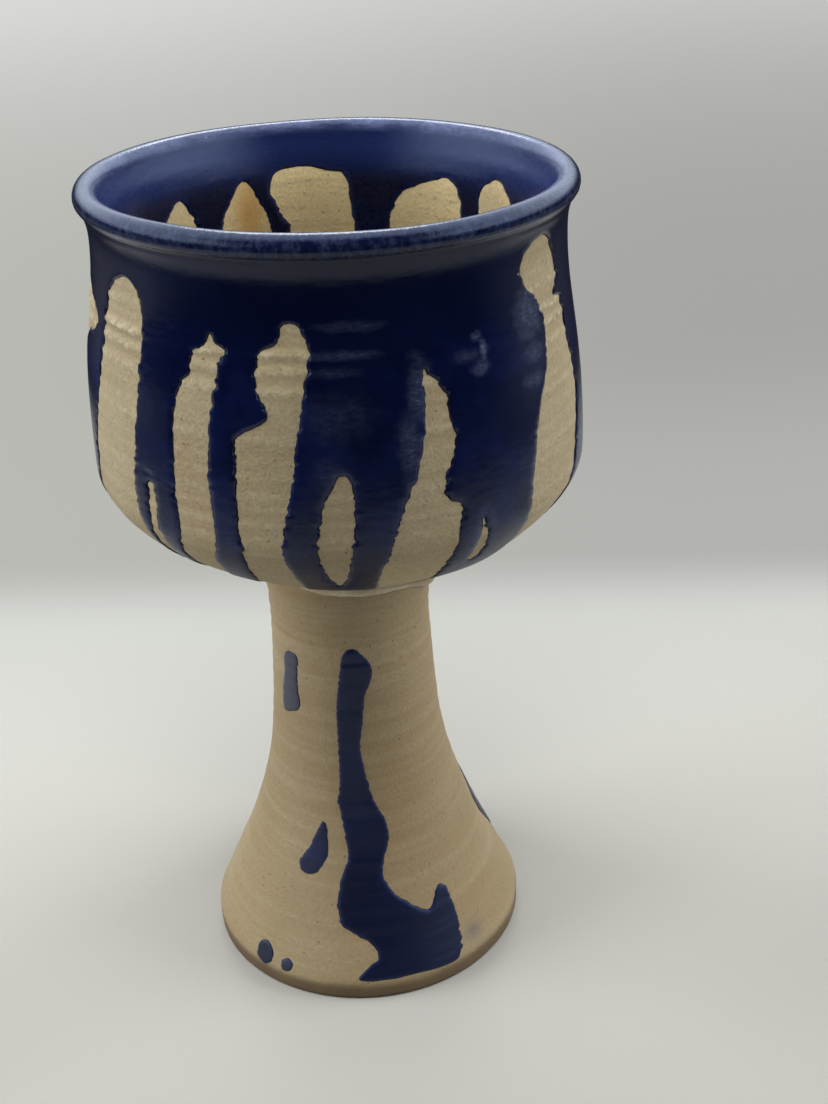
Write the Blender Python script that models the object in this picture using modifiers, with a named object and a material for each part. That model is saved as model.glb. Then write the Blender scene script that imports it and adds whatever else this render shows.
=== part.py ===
"""Hand-thrown stoneware chalice in metres, +Z up, standing on its foot ring at the origin.

A thrown bowl with a rolled lip and a hollow flared stem are luted together with a ring of slip.
A cobalt glaze coats the bowl inside and out and runs down in fingers, with bare clay between them.
A few runs that dripped off the bowl lie on the stem. Azimuth 0 is the front, at -Y, and grows to +X.
"""

import math

import bmesh
import bpy

# Bowl, bare clay
BOWL_HEIGHT = 0.0770
LIP_OUTER_RADIUS = 0.0446
LIP_ROLL_RADIUS = 0.0017
LIP_UNDERCUT_ANGLE = 50.0
NECK_RADIUS = 0.0424
NECK_DROP = 0.0108
BELLY_RADIUS = 0.0460
BELLY_RISE = 0.0253
BELLY_TURN = 0.0100
SEAT_RADIUS = 0.0175
BOWL_WALL = 0.0036
BOWL_FLOOR = 0.0060

# Stem, bare clay
STEM_HEIGHT = 0.0847
STEM_TOP_RADIUS = 0.0168
WAIST_RADIUS = 0.0162
WAIST_DROP = 0.0107
FLARE_WAIST_PULL = 0.0340
FLARE_FOOT_PULL = 0.0120
FLARE_FOOT_RISE = 0.0254
FOOT_RADIUS = 0.0330
FOOT_EDGE = 0.0040
FOOT_ROUND = 0.0008
FOOT_RING = 0.0052
STEM_WALL = 0.0046

# Slip joint, glaze and fits
SLIP_THICKNESS = 0.0020
SLIP_INSET = 0.0006
BEAD_OVERHANG = 0.0011
GLAZE_THICKNESS = 0.0004
GLAZE_SKIRT = 0.0040
CLEARANCE = 0.0003

# Fineness of the turned shapes
SEGMENTS = 40
LIP_STEPS = 4
COVE_STEPS = 3
WALL_STEPS = 4
UNDERSIDE_STEPS = 6
FLOOR_STEPS = 6
FLARE_STEPS = 7
TOP_STEPS = 3
BEAD_STEPS = 4
SKETCH_STEPS = 2

# Places that follow from the sizes
SEAT_Z = STEM_HEIGHT + SLIP_THICKNESS + 2 * CLEARANCE
LIP_Z = SEAT_Z + BOWL_HEIGHT
BELLY_Z = SEAT_Z + BELLY_RISE
NECK_Z = LIP_Z - NECK_DROP
WAIST_Z = STEM_HEIGHT - WAIST_DROP
LIP_CENTRE = (LIP_OUTER_RADIUS - LIP_ROLL_RADIUS, LIP_Z - LIP_ROLL_RADIUS)
GLAZE_REACH = CLEARANCE + GLAZE_THICKNESS
SKETCH_MARGIN = 0.0050

# Bare windows in the outer coat as seen from the front. Each has its azimuth in degrees and an outline
# of points: degrees to the right of that azimuth, and percent of the bowl's height above its seat.
FRONT_WINDOWS = (
    (-90, ((2, 84), (11, 77), (8, 62), (3, 40), (1, 15), (-6, 13), (-8, 42), (-6, 72))),
    (-60, ((5, 86), (11, 83), (12, 74), (10, 41), (10, 28), (3, 6), (-14, 14), (-12, 50), (-9, 66), (-1, 82))),
    (-32, ((4, 80), (7, 75), (4, 61), (2, 44), (2, 26), (-3, 6), (-8, 22), (-6, 48), (-5, 64), (-1, 73))),
    (-15, ((5, 81), (8, 75), (6, 56), (2, 38), (3, 14), (-3, 5), (-8, 24), (-7, 55), (-1, 60), (-3, 68), (0, 77))),
    (-2, ((1, 49), (4, 44), (3, 33), (1, 18), (-3, 22), (-5, 35), (-3, 43))),
    (19, ((-1, 71), (4, 64), (5, 55), (2, 44), (6, 37), (3, 16), (-5, 6), (-11, 25), (-8, 37), (-2, 53))),
    (56, ((-1, 91), (7, 81), (5, 76), (10, 69), (13, 50), (9, 22), (-3, 6), (-11, 29), (-3, 62), (-5, 77), (-9, 85))),
)

# Plain streaks: azimuth in degrees, top in percent of the bowl's height, half width in degrees
BACK_WINDOWS = ((92, 83, 6), (118, 76, 7), (147, 87, 8), (176, 71, 6), (203, 80, 8), (236, 86, 8))
INNER_WINDOWS = (
    (-133, 86, 7), (-154, 87, 8), (-176, 90, 11), (148, 87, 11), (121, 89, 7), (92, 84, 8),
    (65, 88, 7), (38, 85, 9), (10, 89, 8), (-20, 84, 9), (-50, 88, 8), (-78, 85, 7), (-106, 89, 8),
)
OUTER_STREAK_FOOT = 6
INNER_STREAK_FOOT = 16

# Runs on the stem: azimuth in degrees and an outline of points, degrees to the right and percent of
# the stem's height.
STEM_RUNS = {
    "stem_run": (5, (
        (-4, 88), (7, 84), (1, 70), (-3, 60), (2, 47), (8, 40), (5, 29), (13, 21), (21, 19), (30, 22),
        (30, 10), (25, 5), (-11, 5), (-4, 12), (-17, 18), (-19, 24), (-14, 34), (-19, 48), (-18, 74),
    )),
    "stem_dash": (-52, ((0, 85), (9, 82), (9, 70), (0, 66), (-9, 69), (-8, 81))),
    "stem_drop": (-29, ((5, 42), (8, 35), (2, 28), (-7, 29), (-5, 35))),
    "edge_run": (101, ((0, 46), (8, 40), (6, 28), (10, 18), (2, 11), (-9, 18), (-13, 26), (-7, 36))),
    "back_run": (188, ((0, 80), (9, 70), (7, 50), (11, 34), (9, 18), (0, 12), (-9, 20), (-6, 40), (-9, 66))),
    "foot_spot": (-45, ((0, 10), (5, 8), (4, 4), (-3, 4), (-5, 8))),
    "foot_fleck": (-34, ((0, 8), (3, 6), (0, 4), (-3, 6))),
}

# Base colour, roughness
CLAY = ("buff_stoneware", (0.44, 0.35, 0.21, 1.0), 0.75)
SLIP = ("pale_slip", (0.50, 0.42, 0.29, 1.0), 0.80)
COBALT = ("cobalt_glaze", (0.010, 0.014, 0.055, 1.0), 0.12)


def clear_scene():
    for item in list(bpy.data.objects):
        bpy.data.objects.remove(item, do_unlink=True)


def new_collection(name):
    collection = bpy.data.collections.new(name)
    bpy.context.scene.collection.children.link(collection)
    return collection


def material(spec):
    name, colour, roughness = spec
    found = bpy.data.materials.get(name)
    if found:
        return found
    made = bpy.data.materials.new(name)
    made.use_nodes = True
    shader = made.node_tree.nodes["Principled BSDF"]
    shader.inputs["Base Color"].default_value = colour
    shader.inputs["Roughness"].default_value = roughness
    shader.inputs["Metallic"].default_value = 0.0
    return made


def arc(centre, radius, start, end, steps):
    """Points (radius from the axis, height) on an arc, with angles in degrees from straight out."""
    points = []
    for i in range(steps + 1):
        angle = math.radians(start + (end - start) * i / steps)
        points.append((centre[0] + radius * math.cos(angle), centre[1] + radius * math.sin(angle)))
    return points


def bezier(p0, p1, p2, p3, steps):
    points = []
    for i in range(steps + 1):
        t = i / steps
        u = 1 - t
        weights = (u ** 3, 3 * u * u * t, 3 * u * t * t, t ** 3)
        points.append(tuple(
            sum(w * p[axis] for w, p in zip(weights, (p0, p1, p2, p3))) for axis in (0, 1)
        ))
    return points


def offset(path, distance):
    """The path moved to its left as it runs, which is outwards on an outer side that runs down."""
    moved = []
    for i, (radius, height) in enumerate(path):
        before = path[max(i - 1, 0)]
        after = path[min(i + 1, len(path) - 1)]
        along = (after[0] - before[0], after[1] - before[1])
        length = math.hypot(*along)
        moved.append((radius - distance * along[1] / length, height + distance * along[0] / length))
    return moved


def outer_wall(lip_start):
    """Outer side of the bowl, from the lip at an angle in degrees down to the edge of its seat."""
    lip = arc(LIP_CENTRE, LIP_ROLL_RADIUS, lip_start, -LIP_UNDERCUT_ANGLE, LIP_STEPS)
    under_lip = lip[-1]
    neck = (NECK_RADIUS, NECK_Z)
    cove_height = under_lip[1] - NECK_Z
    cove = bezier(
        under_lip,
        (NECK_RADIUS, under_lip[1] - cove_height / 4),
        (NECK_RADIUS, NECK_Z + cove_height / 3),
        neck,
        COVE_STEPS,
    )
    belly = (BELLY_RADIUS, BELLY_Z)
    pull = (NECK_Z - BELLY_Z) / 3
    wall = bezier(neck, (NECK_RADIUS, NECK_Z - pull), (BELLY_RADIUS, BELLY_Z + pull), belly, WALL_STEPS)
    underside = bezier(
        belly,
        (BELLY_RADIUS, BELLY_Z - BELLY_TURN),
        (SEAT_RADIUS + (BELLY_RADIUS - SEAT_RADIUS) / 10, SEAT_Z),
        (SEAT_RADIUS, SEAT_Z),
        UNDERSIDE_STEPS,
    )
    return lip + cove[1:] + wall[1:] + underside[1:]


def inner_wall(lip_end):
    """Inner side of the bowl, from the middle of its floor up to the lip at an angle in degrees."""
    floor = (0.0, SEAT_Z + BOWL_FLOOR)
    belly = (BELLY_RADIUS - BOWL_WALL, BELLY_Z)
    neck = (NECK_RADIUS - BOWL_WALL, NECK_Z)
    well = bezier(
        floor,
        (SEAT_RADIUS + BOWL_WALL, floor[1]),
        (belly[0], BELLY_Z - BELLY_TURN),
        belly,
        FLOOR_STEPS,
    )
    pull = (NECK_Z - BELLY_Z) / 3
    wall = bezier(belly, (belly[0], BELLY_Z + pull), (neck[0], NECK_Z - pull), neck, WALL_STEPS)
    lip = arc(LIP_CENTRE, LIP_ROLL_RADIUS, 180.0, lip_end, LIP_STEPS - 1)
    return well + wall[1:] + lip


def stem_side():
    """Outer side of the stem, from its top edge down to the upper edge of the foot."""
    waist = (WAIST_RADIUS, WAIST_Z)
    top = bezier(
        (STEM_TOP_RADIUS, STEM_HEIGHT),
        (STEM_TOP_RADIUS, STEM_HEIGHT - WAIST_DROP / 3),
        (WAIST_RADIUS, WAIST_Z + WAIST_DROP / 3),
        waist,
        TOP_STEPS,
    )
    flare = bezier(
        waist,
        (WAIST_RADIUS, WAIST_Z - FLARE_WAIST_PULL),
        (FOOT_RADIUS - FLARE_FOOT_PULL, FOOT_EDGE + FLARE_FOOT_RISE),
        (FOOT_RADIUS, FOOT_EDGE),
        FLARE_STEPS,
    )
    return top + flare[1:]


def stem_outline():
    """Closed section of the stem: down the outer side, across the foot ring and up the hollow."""
    foot_corner = (FOOT_RADIUS - FOOT_ROUND, FOOT_ROUND)
    foot_edge = arc(foot_corner, FOOT_ROUND, 0.0, -90.0, 2)
    hollow_waist = (WAIST_RADIUS - STEM_WALL, WAIST_Z)
    hollow_foot = FOOT_RADIUS - FOOT_RING
    hollow = bezier(
        (hollow_foot, 0.0),
        (hollow_foot - FLARE_FOOT_PULL, FLARE_FOOT_RISE),
        (hollow_waist[0], WAIST_Z - FLARE_WAIST_PULL),
        hollow_waist,
        FLARE_STEPS,
    )
    return stem_side() + foot_edge + hollow + [(STEM_TOP_RADIUS - STEM_WALL, STEM_HEIGHT)]


def collar_outline():
    """Closed section of the slip ring: a flat layer whose squeezed-out edge bulges past the stem."""
    low = STEM_HEIGHT + CLEARANCE
    half = SLIP_THICKNESS / 2
    bulge = arc((STEM_TOP_RADIUS + BEAD_OVERHANG - half, low + half), half, 90.0, -90.0, BEAD_STEPS)
    inner = STEM_TOP_RADIUS - STEM_WALL + SLIP_INSET
    return bulge + [(inner, low), (inner, low + SLIP_THICKNESS)]


def coat_outline(side):
    """Closed section of a coat of glaze lying a clearance off a side of the clay."""
    return offset(side, GLAZE_REACH) + offset(side, CLEARANCE)[::-1]


def turned(name, outline, closed, spec, collection):
    """A solid of revolution about Z from a section in the XZ plane."""
    mesh = bpy.data.meshes.new(name)
    count = len(outline)
    edges = [(i, i + 1) for i in range(count - 1)]
    if closed:
        edges.append((count - 1, 0))
    mesh.from_pydata([(radius, 0.0, height) for radius, height in outline], edges, [])
    mesh.materials.append(material(spec))
    solid = bpy.data.objects.new(name, mesh)
    collection.objects.link(solid)
    screw = solid.modifiers.new("Turn", "SCREW")
    screw.axis = "Z"
    screw.angle = math.tau
    screw.steps = SEGMENTS
    screw.render_steps = SEGMENTS
    screw.use_merge_vertices = True
    screw.merge_threshold = 0.00001
    screw.use_smooth_shade = True
    return solid


def sketch_cutter(name, azimuth, points, near, far, collection):
    """A closed smooth outline, drawn in metres across and up, pushed out between two distances."""
    curve = bpy.data.curves.new(name, "CURVE")
    curve.dimensions = "2D"
    curve.fill_mode = "BOTH"
    curve.extrude = (far - near) / 2
    curve.resolution_u = SKETCH_STEPS
    spline = curve.splines.new("BEZIER")
    spline.use_cyclic_u = True
    spline.bezier_points.add(len(points) - 1)
    for knot, (across, up) in zip(spline.bezier_points, points):
        knot.co = (across, up, 0.0)
        knot.handle_left_type = "AUTO"
        knot.handle_right_type = "AUTO"
    turn = math.radians(azimuth)
    middle = (near + far) / 2
    drawn = bpy.data.objects.new(name, curve)
    drawn.location = (middle * math.sin(turn), -middle * math.cos(turn), 0.0)
    drawn.rotation_euler = (math.pi / 2, 0.0, turn)
    collection.objects.link(drawn)
    bpy.context.view_layer.update()
    graph = bpy.context.evaluated_depsgraph_get()
    mesh = bpy.data.meshes.new_from_object(drawn.evaluated_get(graph))
    welded = bmesh.new()
    welded.from_mesh(mesh)
    bmesh.ops.remove_doubles(welded, verts=welded.verts, dist=0.000001)
    bmesh.ops.recalc_face_normals(welded, faces=welded.faces)
    welded.to_mesh(mesh)
    welded.free()
    cutter = bpy.data.objects.new(name + "_cutter", mesh)
    cutter.matrix_world = drawn.matrix_world
    cutter.hide_render = True
    cutter.display_type = "WIRE"
    collection.objects.link(cutter)
    bpy.data.objects.remove(drawn, do_unlink=True)
    return cutter


def apply_cutter(solid, cutter, operation):
    boolean = solid.modifiers.new(cutter.name, "BOOLEAN")
    boolean.operation = operation
    boolean.solver = "EXACT"
    boolean.object = cutter


def on_bowl(points, radius):
    """Outline points in degrees and percent of the bowl's height, as metres across and up."""
    return [(radius * math.sin(math.radians(turn)), SEAT_Z + BOWL_HEIGHT * up / 100) for turn, up in points]


def streak(top, width, bottom):
    """Outline points of a plain bare streak: a round head and sides that draw in towards its end."""
    half = [
        (0.70 * width, top - 5), (width, top - 15), (0.85 * width, (top + bottom) / 2),
        (0.75 * width, bottom + 6),
    ]
    return [(0, top)] + half + [(0, bottom)] + [(-turn, up) for turn, up in reversed(half)]


def cut_bowl_windows(coat, windows, radius, collection):
    """Cuts each window through one side of a coat, and leaves the middle of the bowl alone."""
    near = SEAT_RADIUS / 2
    far = radius + SKETCH_MARGIN
    for i, (azimuth, points) in enumerate(windows):
        sketch = on_bowl(points, radius)
        cutter = sketch_cutter(f"{coat.name}_window_{i}", azimuth, sketch, near, far, collection)
        apply_cutter(coat, cutter, "DIFFERENCE")


def stem_radius_at(height):
    """Radius of the stem's outer side at a height, between the points of its section."""
    side = stem_side()
    for (upper, top), (lower, bottom) in zip(side, side[1:]):
        if bottom <= height <= top:
            share = (height - bottom) / (top - bottom)
            return lower + (upper - lower) * share
    return FOOT_RADIUS


def make_stem_run(name, azimuth, points, parts, cutters):
    """A run of glaze on the stem: the part of a thin coat that lies inside an outline."""
    coat = turned(name, coat_outline(stem_side()), True, COBALT, parts)
    sketch = []
    for turn, up in points:
        height = STEM_HEIGHT * up / 100
        sketch.append((stem_radius_at(height) * math.sin(math.radians(turn)), height))
    cutter = sketch_cutter(name, azimuth, sketch, WAIST_RADIUS / 2, FOOT_RADIUS + SKETCH_MARGIN, cutters)
    apply_cutter(coat, cutter, "INTERSECT")


def make_bowl_glaze(parts, cutters):
    """The two coats of the bowl, which meet along the crest of the lip with a clearance between them."""
    crest = math.degrees(math.asin(CLEARANCE / 2 / (LIP_ROLL_RADIUS + CLEARANCE)))
    skirt = SEAT_RADIUS + GLAZE_SKIRT
    outside = [point for point in outer_wall(90.0 - crest) if point[0] > skirt]
    outer = turned("outer_glaze", coat_outline(outside), True, COBALT, parts)
    back = [(azimuth, streak(top, width, OUTER_STREAK_FOOT)) for azimuth, top, width in BACK_WINDOWS]
    cut_bowl_windows(outer, list(FRONT_WINDOWS) + back, BELLY_RADIUS, cutters)

    inside = inner_wall(90.0 + crest)
    under = offset(inside, CLEARANCE)
    over = offset(inside, GLAZE_REACH)
    under[0] = (0.0, under[0][1])
    over[0] = (0.0, over[0][1])
    inner = turned("inner_glaze", over + under[::-1], False, COBALT, parts)
    bare = [(azimuth, streak(top, width, INNER_STREAK_FOOT)) for azimuth, top, width in INNER_WINDOWS]
    cut_bowl_windows(inner, bare, BELLY_RADIUS - BOWL_WALL, cutters)


def build():
    clear_scene()
    parts = new_collection("ceramic_chalice")
    cutters = new_collection("glaze_sketches")
    turned("bowl", inner_wall(90.0)[:-1] + outer_wall(90.0) + [(0.0, SEAT_Z)], False, CLAY, parts)
    turned("stem", stem_outline(), True, CLAY, parts)
    turned("joint_collar", collar_outline(), True, SLIP, parts)
    make_bowl_glaze(parts, cutters)
    for name, (azimuth, points) in STEM_RUNS.items():
        make_stem_run(name, azimuth, points, parts, cutters)


build()
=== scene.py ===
"""Looks of the ceramic chalice: fine thrown clay, cobalt glaze with real film edges, slip joint and studio.

Lengths are in millimetres until a mesh is made. Azimuth 0 is the front, at -Y, and grows towards +X.
"""

import math

import bpy
import numpy as np
from mathutils import Matrix, Vector, noise


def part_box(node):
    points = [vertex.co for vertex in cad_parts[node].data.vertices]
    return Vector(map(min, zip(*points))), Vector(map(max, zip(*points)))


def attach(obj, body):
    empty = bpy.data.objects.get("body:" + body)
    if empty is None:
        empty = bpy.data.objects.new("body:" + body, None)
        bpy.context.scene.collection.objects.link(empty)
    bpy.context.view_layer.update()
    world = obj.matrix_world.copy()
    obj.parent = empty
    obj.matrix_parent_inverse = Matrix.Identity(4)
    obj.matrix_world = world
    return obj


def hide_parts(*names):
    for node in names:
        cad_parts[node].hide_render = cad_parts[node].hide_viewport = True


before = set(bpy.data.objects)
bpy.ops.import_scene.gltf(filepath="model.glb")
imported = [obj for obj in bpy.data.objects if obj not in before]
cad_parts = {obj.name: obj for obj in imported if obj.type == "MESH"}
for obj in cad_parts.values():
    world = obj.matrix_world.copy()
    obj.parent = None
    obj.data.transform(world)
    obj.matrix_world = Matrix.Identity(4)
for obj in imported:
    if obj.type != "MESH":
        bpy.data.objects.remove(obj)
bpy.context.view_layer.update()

MM = 0.001


def frame_sizes(node):
    """Lowest and highest corner of a CAD node in millimetres."""
    low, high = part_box(node)
    return low / MM, high / MM


# Sizes read from the frame
BOWL_LOW, BOWL_HIGH = frame_sizes("bowl")
STEM_HIGH = frame_sizes("stem")[1]
COLLAR_HIGH = frame_sizes("joint_collar")[1]
SEAT_Z = BOWL_LOW.z
LIP_Z = BOWL_HIGH.z
BELLY_R = BOWL_HIGH.x
FOOT_R = STEM_HIGH.x
STEM_Z = STEM_HIGH.z
COLLAR_R = COLLAR_HIGH.x

# Sizes of the turned shapes, as in the part's source
LIP_OUTER_R = 44.6
LIP_ROLL_R = 1.7
LIP_UNDERCUT_ANGLE = 50.0
LIP_INNER_ANGLE = 162.0
NECK_R = 42.4
NECK_Z = LIP_Z - 10.8
BELLY_Z = SEAT_Z + 25.3
BELLY_TURN = 10.0
SEAT_R = 17.5
BOWL_WALL = 3.6
BOWL_FLOOR = 6.0
STEM_TOP_R = 16.8
WAIST_R = 16.2
WAIST_Z = STEM_Z - 10.7
FLARE_WAIST_PULL = 34.0
FLARE_FOOT_PULL = 12.0
FLARE_FOOT_RISE = 25.4
FOOT_EDGE = 4.0
FOOT_ROUND = 0.8
FOOT_RING = 5.2
STEM_WALL = 4.6

# The clay fills the clearance that the solids keep. The film of glaze on it: how far off it lies, its
# thickness, the least thickness, the width of its rounded edge, how much of the turning marks it levels,
# and how deep its underside sits in the clay
SKIN = 0.3
FILM_LIFT = 0.01
FILM = 0.26
FILM_LEAST = 0.06
FILM_EDGE = 0.7
FILM_LEVELS = 0.95
FILM_SINK = 0.08

# The glaze covers all above a height, its cover is measured up to a reach, and its fingers end a little
# outside the seat: how far, how much that wanders and the least
GLAZED_ABOVE = 159.5
COVER_REACH = 6.0
DRIP_END = 2.0
DRIP_WANDER = 2.0
DRIP_LEAST = 1.1

# How far the bowl leans on its stem
BOWL_LEAN = math.radians(1.0)

# The joint was set askew: its rise at the axis, how that changes towards +X and +Y, how far up the bowl it
# tells, and by what share the top of the stem is slimmer than turned
JOINT_RISE = 1.35
JOINT_TILT = (-0.12, -0.058)
JOINT_REACH = 14.0
STEM_SLIM = 0.024

# The bowl has come away from the slip at the right of the front: azimuth, half width in degrees and gap
CRACK = (29.0, 15.0, 1.5)

# Its underside is flatter at the left of the front: azimuth, half width in degrees, rise, and reach above
# the seat
FLATTENED = (-43.0, 22.0, 1.7, 22.0)

# Fineness of the profiles and the meshes, and how far the grid of a run goes beyond it
PATH_STEP = 0.1
CLAY_COLUMNS = 300
CLAY_STEP = 0.55
COAT_COLUMNS = 320
COAT_STEP = 0.46
PATCH_STEP = 0.3
PATCH_MARGIN = 1.5

# Throwing rings on the outside of the bowl: their even pitch, their half width, and of the strong ones the
# height, the size and how much larger each is at the left. Under the glaze a share of them is left
RING_PITCH = 2.9
RING_WIDTH = 0.7
RINGS = (
    (152.6, 0.08, 0.6), (149.7, 0.16, 1.6), (145.2, 0.25, 3.0), (142.3, 0.18, 2.0), (138.9, 0.14, 1.2),
    (131.0, 0.10, 0.8), (121.0, 0.08, 0.8),
)
RINGS_UNDER_GLAZE = 0.3

# Grooves round the top of the stem: height and depth
STEM_GROOVES = (
    (80.2, 0.26), (77.4, 0.30), (74.6, 0.26), (71.4, 0.16), (67.0, 0.10), (61.0, 0.08), (52.0, 0.06),
)

# Fullness of the upper wall beyond the turned profile: size, height of its middle and half its height
SHOULDER = 0.9
SHOULDER_Z = 135.0
SHOULDER_TALL = 14.0

# Crease where the rolled lip meets the neck, by length along the outer side from the crest
LIP_EDGE = LIP_ROLL_R * math.radians(90.0 + LIP_UNDERCUT_ANGLE) + 0.4

# Bare windows in the outer coat: outlines of azimuth in degrees and height, from the left of the front round
OUTER_WINDOWS = (
    (
        (-87, 148.6), (-78, 147.4), (-72, 145.4), (-69.5, 143.2), (-72.5, 141), (-79, 139.4), (-85, 134),
        (-87, 112), (-88, 100), (-95, 98), (-98, 118), (-97, 140), (-93, 147.5),
    ),
    (
        (-54.5, 154), (-49.5, 152.5), (-47.5, 148), (-48, 141), (-48.5, 134), (-50, 126), (-51.5, 118),
        (-50.5, 111), (-49.5, 104), (-51, 96), (-54, 85), (-70, 85), (-74, 98), (-74, 110), (-71.5, 121),
        (-68, 129), (-65, 138), (-63.5, 145), (-61.2, 150.5),
    ),
    (
        (-45.6, 121.5), (-44.6, 117), (-44.6, 111), (-44.9, 104), (-46, 96), (-48.8, 96), (-48, 104),
        (-47, 112), (-46.5, 118),
    ),
    (
        (-28.2, 148), (-26.9, 146.6), (-25, 145), (-26.4, 143), (-26.7, 140.5), (-28.3, 134.5),
        (-29.3, 123), (-29, 112.5), (-31.4, 105), (-33, 97), (-35, 85), (-42, 85), (-42, 97), (-40.5, 105),
        (-38, 112.5), (-38.3, 119), (-37.8, 132), (-36.6, 137), (-33.6, 141), (-32.4, 144.4),
        (-29.8, 145.4),
    ),
    (
        (-11.4, 150), (-8.4, 149.8), (-6.4, 146), (-7.8, 139), (-9.5, 130.5), (-11, 122.5), (-13, 115.5),
        (-13.6, 110.5), (-12.4, 105), (-11.8, 98), (-14, 93), (-20, 89.6), (-28, 85), (-58, 85),
        (-46, 88.6), (-33, 92), (-26, 97), (-23, 107), (-23, 121), (-22.8, 128), (-22, 131.4), (-18, 133),
        (-15.4, 134.8), (-16.6, 137.5), (-17.8, 140.3), (-16.8, 145), (-13.2, 147.2),
    ),
    (
        (-0.5, 125.6), (1.2, 123.6), (1.7, 120), (1.3, 114), (0, 106), (-1.8, 102), (-4.3, 103.5),
        (-5.8, 108), (-6.3, 114), (-4.8, 119.5), (-2.6, 123),
    ),
    (
        (17.8, 141.6), (19.6, 140), (22.6, 136.6), (22.6, 134), (24, 131), (24, 127.5), (21, 121.2),
        (22.3, 118.4), (24.9, 117.2), (24.6, 112), (23.4, 102), (26, 96), (34, 91), (46, 88), (52, 85),
        (23, 85), (16, 89.4), (9.4, 94), (7.2, 100), (7.6, 106.5), (11.2, 116.5), (14.6, 123), (17, 130),
        (17.6, 136.5),
    ),
    ((30.4, 113.4), (32.1, 110), (33, 106), (32.1, 103.2), (30.3, 103.4), (29.8, 107), (29.9, 110.6)),
    (
        (55.5, 158.3), (59, 155.6), (62.6, 150), (60.6, 146.6), (64.4, 144.2), (66.3, 138), (70, 128),
        (67, 115.5), (64, 108), (61, 98), (61, 85), (48, 85), (45, 97), (44.8, 107), (45, 114), (46.8, 122),
        (49.6, 129.5), (53.6, 136), (54.3, 143.3), (51.9, 147.2), (47.5, 150.5), (45.7, 154), (49, 157),
    ),
    (
        (88, 146), (91, 151), (95, 149), (97.5, 141), (96, 131), (98.5, 120), (97, 108), (95, 97), (97, 85),
        (88, 85), (89, 98), (86.5, 110), (88, 122), (85.5, 134),
    ),
    (
        (113, 140), (116, 146), (120, 145), (123.5, 138), (122, 128), (125, 117), (123, 106), (120.5, 98),
        (122, 85), (114, 85), (115, 97), (112, 107), (113.5, 118), (110.5, 129),
    ),
    (
        (141.5, 147), (145, 153), (149, 154), (153, 150), (155, 142), (152.5, 135), (155, 126), (154, 114),
        (151, 103), (153, 85), (141, 85), (143, 97), (140, 108), (142, 120), (139, 131), (141.5, 139),
    ),
    (
        (172, 136), (175, 142), (179, 139.5), (181, 131), (179.5, 121), (182, 110), (180, 100), (178.5, 92),
        (180, 85), (173, 85), (173.5, 96), (171, 107), (172.5, 117), (170, 127),
    ),
    (
        (198, 142), (201, 148.5), (205.5, 148), (210, 142), (208, 133), (211, 124), (209.5, 112),
        (206, 101), (208, 85), (198, 85), (199, 97), (196, 108), (198, 118), (195, 128), (197, 136),
    ),
    (
        (231, 147), (234.5, 153.5), (239, 152), (243, 145), (241, 136), (244, 126), (242.5, 114),
        (239, 103), (241, 85), (231, 85), (232, 97), (229, 108), (231, 120), (228, 131), (230.5, 140),
    ),
)

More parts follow.
